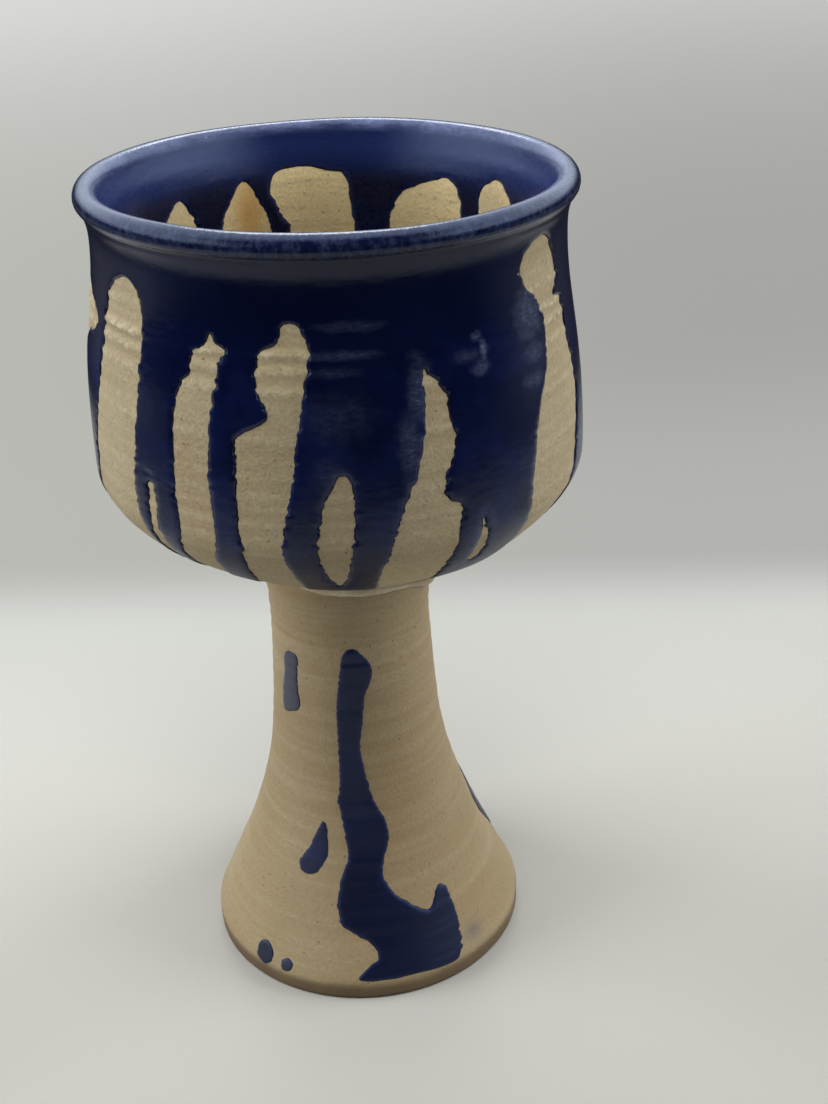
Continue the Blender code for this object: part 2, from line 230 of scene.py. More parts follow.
# Bare windows inside, from the left of the far wall round
INNER_WINDOWS = (
    (
        (-131, 153.3), (-126.5, 151), (-123, 147.5), (-122.5, 139), (-124, 122), (-126, 111), (-131, 106),
        (-135.5, 111), (-137.5, 124), (-138, 139), (-137.3, 146.8), (-134.5, 151.3),
    ),
    (
        (-154.5, 154.5), (-150, 151), (-147, 146.5), (-146.5, 137), (-148, 121), (-150, 110),
        (-154.5, 104.5), (-159, 110), (-161.5, 123), (-163, 137), (-162.5, 144.5), (-158.5, 150.8),
    ),
    (
        (-166.5, 156), (-163.3, 154), (-163.3, 151), (-166, 146.8), (-168.8, 143), (-168.5, 130),
        (-169.5, 116), (-173, 107.5), (-179, 105), (-185, 109), (-188, 120), (-189, 132), (-188, 143),
        (-187, 149.5), (-186, 153.8), (-181, 155.2), (-174, 156.2),
    ),
    (
        (161, 144.5), (159.5, 148), (156.5, 150.8), (150, 153), (143.5, 154.6), (138.8, 153.4),
        (136.9, 149.6), (136.7, 140), (138, 124), (140.5, 112), (147, 105.5), (155, 110), (159.5, 120),
        (161, 132),
    ),
    (
        (129, 152), (126, 154.8), (122, 156), (117.4, 154.8), (114.3, 151.4), (113.5, 138), (115, 122),
        (118, 111), (123, 107.5), (127.5, 113), (129.5, 126), (130, 140),
    ),
    (
        (87, 146), (90, 151.5), (95, 151), (99, 145), (98, 133), (100, 121), (97.5, 110), (92, 104.5),
        (87, 109), (85.5, 121), (87, 134),
    ),
    (
        (60.5, 149), (63.5, 155), (68, 153.5), (71.5, 146), (70, 134), (71.5, 122), (69, 111), (65, 107),
        (60.5, 112), (59, 124), (60.5, 137),
    ),
    (
        (31.5, 146), (35, 152), (41, 153), (46, 147.5), (45, 136), (47, 123), (44, 112), (38.5, 105),
        (32.5, 110), (30, 122), (31.5, 134),
    ),
    (
        (4, 149), (7.5, 155.5), (12.5, 156), (17, 150), (16, 138), (18, 125), (15.5, 113), (10, 108),
        (4.5, 113), (3, 126), (4.5, 139),
    ),
    (
        (-27, 145), (-23, 151.5), (-17, 152.5), (-12, 147), (-13, 135), (-11, 122), (-14, 110),
        (-20, 103.5), (-26, 109), (-28.5, 121), (-27, 133),
    ),
    (
        (-56, 149), (-52.5, 155), (-47.5, 155.5), (-43, 149), (-44, 137), (-42.5, 124), (-45, 113),
        (-50, 107), (-55, 112), (-57, 124), (-55.5, 137),
    ),
    (
        (-83.5, 147), (-80, 152.5), (-75, 152), (-71.5, 145), (-72.5, 133), (-71, 121), (-73.5, 110),
        (-78, 105), (-82.5, 110), (-84.5, 122), (-83, 135),
    ),
    (
        (-112, 142), (-108.5, 147.5), (-103.5, 148), (-99, 142), (-100, 131), (-98.5, 120), (-101, 110),
        (-106, 104), (-111, 109), (-113, 120), (-111.5, 131),
    ),
)

# Runs on the stem: outlines of azimuth in degrees and height
STEM_RUNS = {
    "stem_run": (
        (-8, 72.7), (-2, 74.3), (3, 74), (10, 71.5), (12.5, 69.5), (11, 67), (6.5, 64), (4.3, 60.7),
        (2.5, 56), (0.5, 52), (3, 46), (5.5, 41), (9, 38), (12.5, 35), (12.5, 31.5), (9.3, 28), (7.5, 24.5),
        (11, 21), (17, 18.3), (21, 16.6), (26, 15.6), (29.5, 17.4), (33, 19.2), (36.5, 18.4), (38, 14),
        (37, 9), (33.5, 4.6), (24, 4.2), (10, 4.4), (-5.5, 4.5), (-3, 6.8), (2, 9), (-2.5, 12.2), (-10, 14),
        (-13.5, 16), (-14.8, 19.5), (-13.5, 24), (-9.5, 28.6), (-11, 32), (-13, 36), (-15, 40.3),
        (-13.8, 46), (-14, 52), (-13.8, 61), (-12, 66),
    ),
    "stem_dash": (
        (-57, 70.6), (-49, 71.6), (-43, 70.6), (-44.5, 66), (-43, 60), (-46, 58.4), (-53, 57.4),
        (-60, 57.2), (-61, 61), (-58.5, 66),
    ),
    "stem_drop": (
        (-25, 35.4), (-21.6, 34), (-21, 29), (-24, 25.8), (-29.7, 24), (-35.4, 24.2), (-36.2, 26.4),
        (-31.4, 29.4), (-28.4, 32.6),
    ),
    "edge_run": (
        (121, 39), (124, 34), (117, 25), (112, 16), (107, 11), (99, 15), (91.5, 20.5), (91.5, 24.5),
        (98, 28), (110, 32.5),
    ),
    "back_run": (
        (188, 68), (195, 62), (194, 45), (199, 29), (197, 15), (188, 10), (179, 17), (182, 34), (180, 54),
        (182, 64),
    ),
    "foot_spot": ((-45, 8.2), (-41.4, 7), (-40.8, 5), (-44, 3.6), (-48, 4.4), (-48.6, 6.8)),
    "foot_fleck": ((-34, 6.6), (-31.6, 5.8), (-32.4, 4.4), (-35.6, 4.2), (-36.4, 5.6)),
}

# Run of the front finger over the joint: outline of azimuth in degrees and length along the joint
JOINT_RUN = (
    (-30, -1.5), (21, -1.5), (22, 1.5), (21.5, 2.6), (19, 3.2), (12, 3.5), (4, 3.6), (-4, 3.2), (-11, 2.3),
    (-18, 1.3), (-25, 0.4),
)

# Patches where the glaze is worn thin: azimuth, height, half width in degrees, half height, strength
WORN = (
    (47.6, 146, 4.4, 4.0, 0.85), (48.5, 139, 3.2, 1.6, 0.7), (47.5, 134.4, 3.4, 1.3, 0.6),
    (31.0, 145.2, 0.8, 0.7, 1.6), (32.8, 142.6, 0.7, 1.5, 1.5), (31.6, 139.8, 1.8, 1.2, 0.8),
    (28, 142.2, 3.0, 0.9, 0.45), (16.6, 138, 2.4, 5.0, 0.7), (14.0, 129, 2.2, 5.0, 0.65),
    (2.5, 149.7, 6.5, 0.8, 0.45), (0.5, 145.1, 7.0, 0.75, 0.52), (-1, 142.2, 5.0, 0.8, 0.3),
    (-1, 135, 7.0, 4.0, 0.22), (-3, 125, 3.5, 3.0, 0.3), (30.5, 108, 3.6, 6.0, 0.7),
    (30, 102, 5.0, 3.0, 0.7), (38, 98, 6.0, 4.0, 0.8),
)

# Half width and half height of the bead of slip, and its lumps: azimuth, half width in degrees, size
COLLAR_OUT = 1.25
COLLAR_TALL = 1.75
SQUEEZED = ((-62, 18, 0.9), (-22, 12, 0.4), (30, 14, 0.4), (66, 16, 1.3), (150, 25, 0.4), (-140, 18, 0.35))

# Where the bare clay inside is duskier: azimuth, half width in degrees, share
DUSKY = ((-131, 12, 0.48), (122, 13, 0.62), (150, 14, 0.24))

# Rusty streak inside: direction from the axis, height and half sizes
IRON_STREAK = ((-0.41, 0.91, 0.0), 148.0, (4.6, 4.6, 11.0))

# Painted shade, warm and dark, at the right of the front of the stem, and a smear of glaze on it: azimuth,
# half width in degrees, height, half height
STEM_PAINTED_SHADE = (14.0, 26.0, 42.0, 22.0)
STEM_SMEAR = (43.0, 4.5, 7.4, 1.7)

# Painted shadow on the slip along the crack: azimuth, half width in degrees
CRACK_SHADE = (42.0, 24.0)

# How far the clay shows through the small runs
SHEER = {"stem_dash": 0.40, "stem_drop": 0.08, "edge_run": 0.25, "foot_spot": 0.12, "foot_fleck": 0.20}


# Helpers


def smoothstep(low, high, value):
    share = np.clip((value - low) / (high - low), 0.0, 1.0)
    return share * share * (3.0 - 2.0 * share)


def bell(value, middle, width):
    """1 at the middle, falling off smoothly on both sides."""
    return np.exp(-((value - middle) / width) ** 2)


def patch(turn, z, place, width, height, tall):
    """1 in the middle of a patch, falling off all round; turn, place and width in degrees."""
    return bell(turn, place, width) * bell(z, height, tall)


def wrapped(degrees):
    return (degrees + 180.0) % 360.0 - 180.0


def spun(azimuth, r, z):
    """Points in space, with azimuth in radians."""
    return np.stack([r * np.sin(azimuth), -r * np.cos(azimuth), z], -1)


def all_round(columns):
    """Azimuths of columns spread evenly round the axis, in radians."""
    return np.arange(columns) * math.tau / columns


def turn_of(points):
    """Azimuth of points in degrees."""
    return np.degrees(np.arctan2(points[..., 0], -points[..., 1]))


# Turned profiles


def arc(centre, radius, start, end, steps):
    angles = np.radians(np.linspace(start, end, steps))
    return np.column_stack([centre[0] + radius * np.cos(angles), centre[1] + radius * np.sin(angles)])


def bezier(p0, p1, p2, p3, steps=120):
    t = np.linspace(0.0, 1.0, steps)[:, None]
    u = 1.0 - t
    p0, p1, p2, p3 = (np.array(p, float) for p in (p0, p1, p2, p3))
    return u ** 3 * p0 + 3 * u * u * t * p1 + 3 * u * t * t * p2 + t ** 3 * p3


def joined(*pieces):
    """One path from pieces that start where the one before ends."""
    path = [pieces[0]] + [piece[1:] for piece in pieces[1:]]
    return np.vstack(path)


def outer_path():
    """Outer side of the bowl from the crest of the lip down to the edge of its seat."""
    centre = (LIP_OUTER_R - LIP_ROLL_R, LIP_Z - LIP_ROLL_R)
    lip = arc(centre, LIP_ROLL_R, 90.0, -LIP_UNDERCUT_ANGLE, 60)
    under = lip[-1]
    cove = under[1] - NECK_Z
    neck = bezier(under, (NECK_R, under[1] - cove / 4), (NECK_R, NECK_Z + cove / 3), (NECK_R, NECK_Z))
    pull = (NECK_Z - BELLY_Z) / 3
    wall = bezier((NECK_R, NECK_Z), (NECK_R, NECK_Z - pull), (BELLY_R, BELLY_Z + pull), (BELLY_R, BELLY_Z))
    underside = bezier(
        (BELLY_R, BELLY_Z), (BELLY_R, BELLY_Z - BELLY_TURN),
        (SEAT_R + (BELLY_R - SEAT_R) / 10, SEAT_Z), (SEAT_R, SEAT_Z),
    )
    return joined(lip, neck, wall, underside)


def inner_path():
    """Inner side of the bowl from the crest of the lip down to the middle of its floor."""
    centre = (LIP_OUTER_R - LIP_ROLL_R, LIP_Z - LIP_ROLL_R)
    lip = arc(centre, LIP_ROLL_R, 90.0, LIP_INNER_ANGLE, 40)
    neck = (NECK_R - BOWL_WALL, NECK_Z)
    belly = (BELLY_R - BOWL_WALL, BELLY_Z)
    drop = lip[-1][1] - NECK_Z
    slope = math.radians(LIP_INNER_ANGLE)
    slide = np.array([-math.sin(slope), math.cos(slope)]) * drop / 3
    collar = bezier(lip[-1], lip[-1] + slide, (neck[0], NECK_Z + drop / 3), neck)
    pull = (NECK_Z - BELLY_Z) / 3
    wall = bezier(neck, (neck[0], NECK_Z - pull), (belly[0], BELLY_Z + pull), belly)
    floor_z = SEAT_Z + BOWL_FLOOR
    well = bezier(belly, (belly[0], BELLY_Z - BELLY_TURN), (SEAT_R + BOWL_WALL, floor_z), (0.0, floor_z))
    return joined(lip, collar, wall, well)


def stem_path():
    """Outer side of the stem from its top edge down to the edge of the foot and round under it."""
    pull = 3.6
    top = bezier(
        (STEM_TOP_R, STEM_Z), (STEM_TOP_R, STEM_Z - pull), (WAIST_R, WAIST_Z + pull), (WAIST_R, WAIST_Z),
    )
    flare = bezier(
        (WAIST_R, WAIST_Z), (WAIST_R, WAIST_Z - FLARE_WAIST_PULL),
        (FOOT_R - FLARE_FOOT_PULL, FOOT_EDGE + FLARE_FOOT_RISE), (FOOT_R, FOOT_EDGE),
    )
    edge = arc((FOOT_R - FOOT_ROUND, FOOT_ROUND), FOOT_ROUND, 0.0, -90.0, 12)
    return np.vstack([joined(top, flare), edge])


def hollow_path():
    """Inside of the stem from the foot ring up to its top edge."""
    foot = FOOT_R - FOOT_RING
    waist = (WAIST_R - STEM_WALL, WAIST_Z)
    rise = bezier(
        (foot, 0.0), (foot - FLARE_FOOT_PULL, FLARE_FOOT_RISE),
        (waist[0], WAIST_Z - FLARE_WAIST_PULL), waist,
    )
    return joined(rise, np.array([waist, (STEM_TOP_R - STEM_WALL, STEM_Z)]))


class Side:
    """One side of a turned shape by length along it, with the normal that points out of the clay."""

    def __init__(self, path, outwards, relief):
        keep = np.r_[True, np.hypot(*np.diff(path, axis=0).T) > 1e-6]
        path = path[keep]
        along = np.r_[0.0, np.cumsum(np.hypot(*np.diff(path, axis=0).T))]
        self.length = along[-1]
        self.run = np.linspace(0.0, self.length, int(self.length / PATH_STEP))
        self.r = np.interp(self.run, along, path[:, 0])
        self.z = np.interp(self.run, along, path[:, 1])
        slope_r = np.gradient(self.r, self.run)
        slope_z = np.gradient(self.z, self.run)
        size = np.hypot(slope_r, slope_z) * outwards
        self.nr = -slope_z / size
        self.nz = slope_r / size
        self.outwards = outwards
        self.relief = relief

    def at(self, run):
        return [np.interp(run, self.run, values) for values in (self.r, self.z, self.nr, self.nz)]

    def points(self, azimuth, run, lift):
        """Points in space at a lift above the smooth clay, with azimuth in radians."""
        r, z, nr, nz = self.at(run)
        out = np.maximum(r + nr * lift, 0.0)
        return spun(azimuth, out, z + nz * lift)


# Relief of the thrown clay, in millimetres above the turned shape


def cloud(points, size, seed):
    """Smooth noise from -1 to 1 at points in space, with features of about a size."""
    shift = Vector((13.7 * seed, -7.1 * seed, 4.9 * seed))
    flat = np.asarray(points, float).reshape(-1, 3) / size
    values = [noise.noise(Vector(p) + shift) for p in flat]
    return np.array(values).reshape(np.shape(points)[:-1])


def banded(azimuth, height, pitch, drift, seed):
    """Noise in rings round the axis that changes slowly along each ring."""
    turned = np.stack([drift * np.cos(azimuth), drift * np.sin(azimuth), height / pitch], -1)
    return cloud(turned, 1.0, seed)


def ring_crests(azimuth, height):
    """0 to 1 on the crests of the throwing rings, and their height above the wall."""
    wander = height + 0.5 * banded(azimuth, height, 9.0, 1.2, 3)
    even = np.maximum(np.cos(math.tau * wander / RING_PITCH), 0.0) ** 2 * smoothstep(94.0, 112.0, height)
    crest = 0.3 * even
    left = bell(wrapped(np.degrees(azimuth)), -55.0, 22.0)
    rise = 0.055 * even
    strongest = max(size for _, size, _ in RINGS)
    for ring, size, at_left in RINGS:
        bump = bell(wander, ring, RING_WIDTH)
        crest = np.maximum(crest, bump * size / strongest)
        rise += bump * size * (1.0 + (at_left - 1.0) * left)
    return crest, rise


def lip_fade(run):
    """0 on the crest of the lip, rising to 1 below it."""
    return np.clip(run / 6.0, 0.0, 1.0)


def shoulder(azimuth, z):
    """How far the hand-thrown wall stands out from the turned profile, more so at the left."""
    return SHOULDER * bell(z, SHOULDER_Z, SHOULDER_TALL) * (1.0 - 0.4 * np.sin(azimuth))


def outer_turning(azimuth, run, r, z):
    """Throwing rings and finer turning marks, sharp where the clay is bare and filled under the film."""
    fine = 0.07 * banded(azimuth, z, 1.6, 0.8, 1) + 0.025 * banded(azimuth, z, 0.5, 2.5, 2)
    covered = smoothstep(-0.6, 0.6, bare_windows(azimuth, z, OUTER_WINDOWS, BELLY_R))
    rings = ring_crests(azimuth, z)[1] * (1.0 - (1.0 - RINGS_UNDER_GLAZE) * covered)
    return lip_fade(run) * (fine + rings)


def outer_relief(azimuth, run, r, z):
    points = spun(azimuth, r, z)
    crease = 0.30 * bell(run, LIP_EDGE, 0.7)
    return outer_turning(azimuth, run, r, z) + shoulder(azimuth, z) + 0.22 * cloud(points, 28.0, 4) - crease


def inner_relief(azimuth, run, r, z):
    points = spun(azimuth, r, z)
    fade = lip_fade(run)
    rings = 0.08 * banded(azimuth, z, 2.2, 0.7, 6)
    return fade * rings + 0.22 * cloud(points, 28.0, 4)


def stem_relief(azimuth, run, r, z):
    points = spun(azimuth, r, z)
    rings = 0.10 * banded(azimuth, z, 2.4, 0.5, 8) + 0.03 * banded(azimuth, z, 0.7, 1.5, 9)
    wander = z + 0.4 * banded(azimuth, z, 9.0, 0.8, 11)
    for groove, size in STEM_GROOVES:
        rings = rings - size * bell(wander, groove, RING_WIDTH)
    return (rings + 0.2 * cloud(points, 22.0, 10)) * np.clip(z / 8.0, 0.0, 1.0)


def nothing(azimuth, run, r, z):
    return np.zeros_like(z)


OUTSIDE = Side(outer_path(), 1.0, outer_relief)
INSIDE = Side(inner_path(), -1.0, inner_relief)
STEM = Side(stem_path(), 1.0, stem_relief)
HOLLOW = Side(hollow_path(), 1.0, nothing)


def joint_rise(points):
    """How far the joint stands above its turned height, more at the left and the front."""
    return JOINT_RISE + JOINT_TILT[0] * points[..., 0] + JOINT_TILT[1] * points[..., 1]


def crack_gap(points):
    """How far the underside of the bowl stands off the slip."""
    place, width, gap = CRACK
    return gap * bell(turn_of(points), place, width)


def leaned(points):
    """The bowl leans on its stem, towards the right of the front, and low down it follows the joint."""
    x, y, z = points[..., 0], points[..., 1], points[..., 2] - SEAT_Z
    rise = joint_rise(points) * (1.0 - smoothstep(0.0, JOINT_REACH, z))
    turned_x = x * math.cos(BOWL_LEAN) + z * math.sin(BOWL_LEAN)
    turned_z = z * math.cos(BOWL_LEAN) - x * math.sin(BOWL_LEAN)
    return np.stack([turned_x, y, turned_z + SEAT_Z + rise], -1)


def dented(points):
    """The outer side of the leaned bowl, with the crack under it and its flatter side."""
    z = points[..., 2] - SEAT_Z
    place, width, flat, reach = FLATTENED
    share = smoothstep(0.0, 4.0, z) * (1.0 - smoothstep(5.0, reach, z))
    moved = leaned(points)
    moved[..., 2] += crack_gap(points) * (1.0 - smoothstep(0.0, JOINT_REACH, z))
    moved[..., 2] += flat * bell(turn_of(points), place, width) * share
    return moved


def settled(points):
    """The top of the stem follows the joint and is a little slimmer."""
    z = points[..., 2]
    rise = joint_rise(points) * smoothstep(WAIST_Z + 4.0, STEM_Z, z)
    slim = 1.0 - STEM_SLIM * smoothstep(WAIST_Z - 16.0, STEM_Z, z)
    return np.stack([points[..., 0] * slim, points[..., 1] * slim, z + rise], -1)


def over_joint(points):
    """The run over the joint follows the bowl above and the slip below."""
    share = 0.5 + 0.5 * smoothstep(COLLAR_R, SEAT_R + 3.0, np.hypot(points[..., 0], points[..., 1]))
    moved = settled(points)
    moved[..., 2] += crack_gap(points) * share
    return moved


# Outlines of the glaze


def smooth_outline(points, steps=8):
    """A closed curve through points."""
    knots = np.array(points, float)
    t = np.linspace(0.0, 1.0, steps, endpoint=False)[:, None]
    pieces = []
    for i in range(len(knots)):
        a, b, c, d = (knots[(i + k) % len(knots)] for k in (-1, 0, 1, 2))
        pieces.append(b + 0.5 * t * (c - a + t * (2 * a - 5 * b + 4 * c - d + t * (3 * (b - c) + d - a))))
    return np.vstack(pieces)


def distance_outside(azimuth, height, outline, radius, reach=COVER_REACH):
    """Signed distance to an outline, positive outside it and no more than a reach."""
    middle = np.mean([p[0] for p in outline])
    corners = smooth_outline(outline)
    u = np.radians(corners[:, 0] - middle) * radius
    v = corners[:, 1]
    x = np.radians(wrapped(np.degrees(azimuth) - middle)) * radius
    result = np.full(x.shape, reach)
    near = (x > u.min() - reach) & (x < u.max() + reach)
    near &= (height > v.min() - reach) & (height < v.max() + reach)
    px, pz = x[near], height[near]
    nearest = np.full(px.shape, reach ** 2)
    inside = np.zeros(px.shape, bool)
    for (u0, v0), (u1, v1) in zip(zip(u, v), zip(np.roll(u, -1), np.roll(v, -1))):
        du, dv = u1 - u0, v1 - v0
        share = np.clip(((px - u0) * du + (pz - v0) * dv) / (du * du + dv * dv + 1e-12), 0.0, 1.0)
        nearest = np.minimum(nearest, (px - u0 - share * du) ** 2 + (pz - v0 - share * dv) ** 2)
        crosses = (v0 > pz) != (v1 > pz)
        if dv:
            inside ^= crosses & (px < u0 + (pz - v0) * du / dv)
    result[near] = np.where(inside, -1.0, 1.0) * np.sqrt(nearest)
    return result


def rough_edge(azimuth, height, radius, seed):
    """Small wander of a glaze edge, with teeth along the throwing rings."""
    points = spun(azimuth, radius, height)
    size = 0.30 + 0.25 * cloud(points, 9.0, seed + 2)
    return size * banded(azimuth, height, 0.8, 5.0, seed) * 1.4 + 0.28 * cloud(points, 2.6, seed + 1)


def bare_windows(azimuth, height, outlines, radius):
    """Distance from the nearest of several bare windows, negative inside one."""
    cover = np.full(height.shape, COVER_REACH)
    for outline in outlines:
        cover = np.minimum(cover, distance_outside(azimuth, height, outline, radius))
    return cover


def outer_cover(azimuth, run, r, z):
    """How far a point outside the bowl lies within the glaze, negative where the clay is bare."""
    cover = bare_windows(azimuth, z, OUTER_WINDOWS, BELLY_R)
    cover = cover + rough_edge(azimuth, z, BELLY_R, 20) - 0.5 * ring_crests(azimuth, z)[0] + 0.15
    past_seat = np.maximum(DRIP_END + DRIP_WANDER * banded(azimuth, 0 * z, 1.0, 4.0, 24), DRIP_LEAST)
    cover = np.minimum(cover, r - (SEAT_R + past_seat))
    return np.where(z > GLAZED_ABOVE, COVER_REACH, cover)


def inner_cover(azimuth, run, r, z):
    cover = bare_windows(azimuth, z, INNER_WINDOWS, BELLY_R - BOWL_WALL)
    cover = cover + rough_edge(azimuth, z, BELLY_R - BOWL_WALL, 30)
    return np.where(z > GLAZED_ABOVE, COVER_REACH, cover)


def edge_swell(cover):
    """Section of a film from its edge inwards: a quarter round that flattens out."""
    share = np.clip(cover / FILM_EDGE, 0.0, 1.0)
    return np.sqrt(1.0 - (1.0 - share) ** 2)


def outer_film(azimuth, run, r, z, cover):
    """Thickness of the outer film from 0, bare, to 1."""
    lip = 0.25 * (1.0 - smoothstep(2.0, 7.0, run))
    edge = 0.55 + 0.45 * smoothstep(0.0, 0.8, cover)
    return np.clip(edge * (1.0 - 0.16 * ring_crests(azimuth, z)[0] - lip), 0.0, 1.0)


def inner_film(azimuth, run, r, z, cover):
    """Thickness of the inner film, thin below the lip and full further down."""
    lip = 1.0 - smoothstep(1.0, 4.0, run)
    wall = 1.0 - smoothstep(150.0, 161.0, z)
    return np.clip(0.14 + 0.30 * lip + 0.86 * wall, 0.0, 1.0) * smoothstep(0.0, 1.2, cover)


def plain_film(azimuth, run, r, z, cover):
    return 0.5 + 0.5 * smoothstep(0.0, 1.2, cover)


def outer_worn(azimuth, run, r, z):
    """Wear of the outer coat, 0 to 1."""
    points = spun(azimuth, r, z)
    ragged = 0.40 * cloud(points, 1.6, 95)
    worn = np.zeros_like(z)
    for turn, height, width, tall, strength in WORN:
        away = np.hypot(wrapped(np.degrees(azimuth) - turn) / width, (z - height) / tall) + ragged
        worn = np.maximum(worn, strength * np.clip(1.4 - away, 0.0, 1.0))
    return worn


def outer_lip(azimuth, run, r, z):
    """1 on the rolled lip, 0 below it."""
    return 1.0 - smoothstep(LIP_EDGE - 0.8, LIP_EDGE, run)


def inner_lip(azimuth, run, r, z):
    return 1.0 - smoothstep(1.0, 3.5, run)


def inner_satin(azimuth, run, r, z):
    """1 on the wall inside, 0 on the crest of the lip."""
    return smoothstep(2.0, 5.0, run)


def inner_pale_and_reflection(azimuth, run, r, z):
    """1 where the glaze breaks pale over the inner edge of the lip, and where a painted reflection lies on
    it, most at the far side.
    """
    points = spun(azimuth, r, z)
    patchy = np.clip(0.72 + 0.5 * cloud(points, 9.0, 96) + 0.3 * cloud(points, 3.0, 97), 0.15, 1.0)
    band = smoothstep(0.1, 0.7, run) * (1.0 - smoothstep(1.6, 3.0, run))
    return band * patchy * (0.7 - 0.3 * np.cos(azimuth))


# Meshes


def finish_mesh(name, points, faces, material):
    mesh = bpy.data.meshes.new(name)
    mesh.from_pydata((np.asarray(points) * MM).tolist(), [], faces)
    mesh.shade_smooth()
    mesh.materials.append(material)
    piece = bpy.data.objects.new(name, mesh)
    bpy.context.scene.collection.objects.link(piece)
    return piece


def add_value(piece, name, values):
    attribute = piece.data.attributes.new(name, "FLOAT", "POINT")
    attribute.data.foreach_set("value", np.asarray(values, np.float32).reshape(-1))


def turned_rows(side, step, columns):
    """Points of the clay surface on a grid over a side, by column and row."""
    run = np.linspace(0.0, side.length, max(2, round(side.length / step)))
    turn, along = np.meshgrid(all_round(columns), run, indexing="ij")
    r, z, _, _ = side.at(along)
    lift = SKIN + side.relief(turn, along, r, z)
    return side.points(turn, along, lift)


def ring_faces(columns, rows, first=0, wrap_rows=False):
    """Quads of a grid of columns round the axis, numbered row by row within a column."""
    last = rows if wrap_rows else rows - 1
    column, row = np.meshgrid(np.arange(columns), np.arange(last), indexing="ij")
    here = column * rows
    beside = (column + 1) % columns * rows
    below = (row + 1) % rows
    quads = np.stack([here + row, here + below, beside + below, beside + row], -1)
    return (quads.reshape(-1, 4) + first).tolist()


def turned_clay(name, grids, closed, material):
    """A closed clay body from grids of points that follow each other round its section."""
    points = np.concatenate(grids, axis=1)
    columns, rows = points.shape[:2]
    faces = ring_faces(columns, rows, wrap_rows=closed)
    if not closed:
        faces.append([c * rows for c in range(columns)])
        faces.append([c * rows + rows - 1 for c in reversed(range(columns))])
    return finish_mesh(name, points.reshape(-1, 3), faces, material)


def cell_faces(inside, closed):
    """Whole cells of a grid as four node numbers, and the cells that an edge crosses."""
    columns, rows = inside.shape
    last = columns if closed else columns - 1
    column, row = np.meshgrid(np.arange(last), np.arange(rows - 1), indexing="ij")
    here = column * rows + row
    beside = (column + 1) % columns * rows + row
    nodes = np.stack([here, here + 1, beside + 1, beside], -1).reshape(-1, 4)
    count = inside.reshape(-1)[nodes].sum(1)
    return nodes[count == 4], nodes[(count > 0) & (count < 4)]


def film_piece(name, side, azimuth, run, closed, cover_at, film_at, marks, move):
    """A film of glaze on a side wherever its cover is positive: a closed shell with a rounded edge."""
    turn, along = np.meshgrid(azimuth, run, indexing="ij")
    r, z, _, _ = side.at(along)
    clay = SKIN + side.relief(turn, along, r, z)
    cover = cover_at(turn, along, r, z)
    film = film_at(turn, along, r, z, cover)
    levelled = FILM_LEVELS * marks.get("level", nothing)(turn, along, r, z)
    thick = np.maximum(FILM * (0.72 + 0.28 * film) - levelled, FILM_LEAST) * edge_swell(cover)
    base = move(side.points(turn, along, clay + FILM_LIFT)).reshape(-1, 3)
    top = move(side.points(turn, along, clay + FILM_LIFT + thick)).reshape(-1, 3)
    low = move(side.points(turn, along, clay - FILM_SINK)).reshape(-1, 3)
    cover, film = cover.reshape(-1), film.reshape(-1)
    inside = cover > 0.0
    whole, crossed = cell_faces(inside.reshape(turn.shape), closed)

    count = int(inside.sum())
    top_id = np.cumsum(inside) - 1
    low_id = top_id + count
    edge_points, edge_ids = [], {}

    def edge_id(a, b):
        key = (min(a, b), max(a, b))
        if key not in edge_ids:
            share = min(max(cover[a] / (cover[a] - cover[b]), 0.02), 0.98)
            edge_ids[key] = 2 * count + len(edge_points)
            edge_points.append(base[a] + share * (base[b] - base[a]))
        return edge_ids[key]

    upper = top_id[whole].tolist()
    lower = low_id[whole][:, ::-1].tolist()
    for cell in crossed.tolist():
        face, under = [], []
        for a, b in zip(cell, cell[1:] + cell[:1]):
            if inside[a]:
                face.append(int(top_id[a]))
                under.append(int(low_id[a]))
            if inside[a] != inside[b]:
                rim = edge_id(a, b)
                face.append(rim)
                under.append(rim)
        upper.append(face)
        lower.append(under[::-1])
    ends = end_walls(inside.reshape(turn.shape), top_id, low_id) if closed else []
    faces = upper + lower + ends
    if side.outwards < 0:
        faces = [face[::-1] for face in faces]
    points = np.vstack([top[inside], low[inside]] + ([np.array(edge_points)] if edge_points else []))
    piece = finish_mesh(name, points, faces, GLAZE)
    marks = dict(marks, film=lambda *place: film.reshape(turn.shape))
    for mark in ("film", "lip", "worn", "sheer", "satin", "pale"):
        value_at = marks.get(mark, nothing)
        values = np.zeros(len(points))
        values[:count] = value_at(turn, along, r, z).reshape(-1)[inside]
        if mark == "film":
            values[2 * count:] = 0.8 * np.median(values[:count])
        add_value(piece, mark, values)
    if closed:
        crest = np.flatnonzero(inside.reshape(turn.shape)[:, 0])
        level_crest(piece, top_id.reshape(turn.shape)[crest, 0], move)
    return piece


def level_crest(piece, crest, move):
    """Points the normals along the crest of the lip straight up, so that two coats meet without a line."""
    normals = np.zeros(len(piece.data.vertices) * 3)
    piece.data.vertex_normals.foreach_get("vector", normals)
    normals = normals.reshape(-1, 3)
    origin = move(np.zeros(3))
    normals[crest] = move(np.array([0.0, 0.0, 1.0])) - origin
    piece.data.normals_split_custom_set_from_vertices(normals.tolist())


def end_walls(inside, top_id, low_id):
    """Faces that close a coat along its first row, and along its last where that is covered."""
    columns, rows = inside.shape
    walls = []
    for c in range(columns):
        a, b = c * rows, (c + 1) % columns * rows
        walls.append([int(top_id[a]), int(top_id[b]), int(low_id[b]), int(low_id[a])])
    if inside[:, -1].all():
        last = [c * rows + rows - 1 for c in range(columns)]
        walls.append([int(top_id[n]) for n in reversed(last)])
        walls.append([int(low_id[n]) for n in last])
    return walls


# Materials


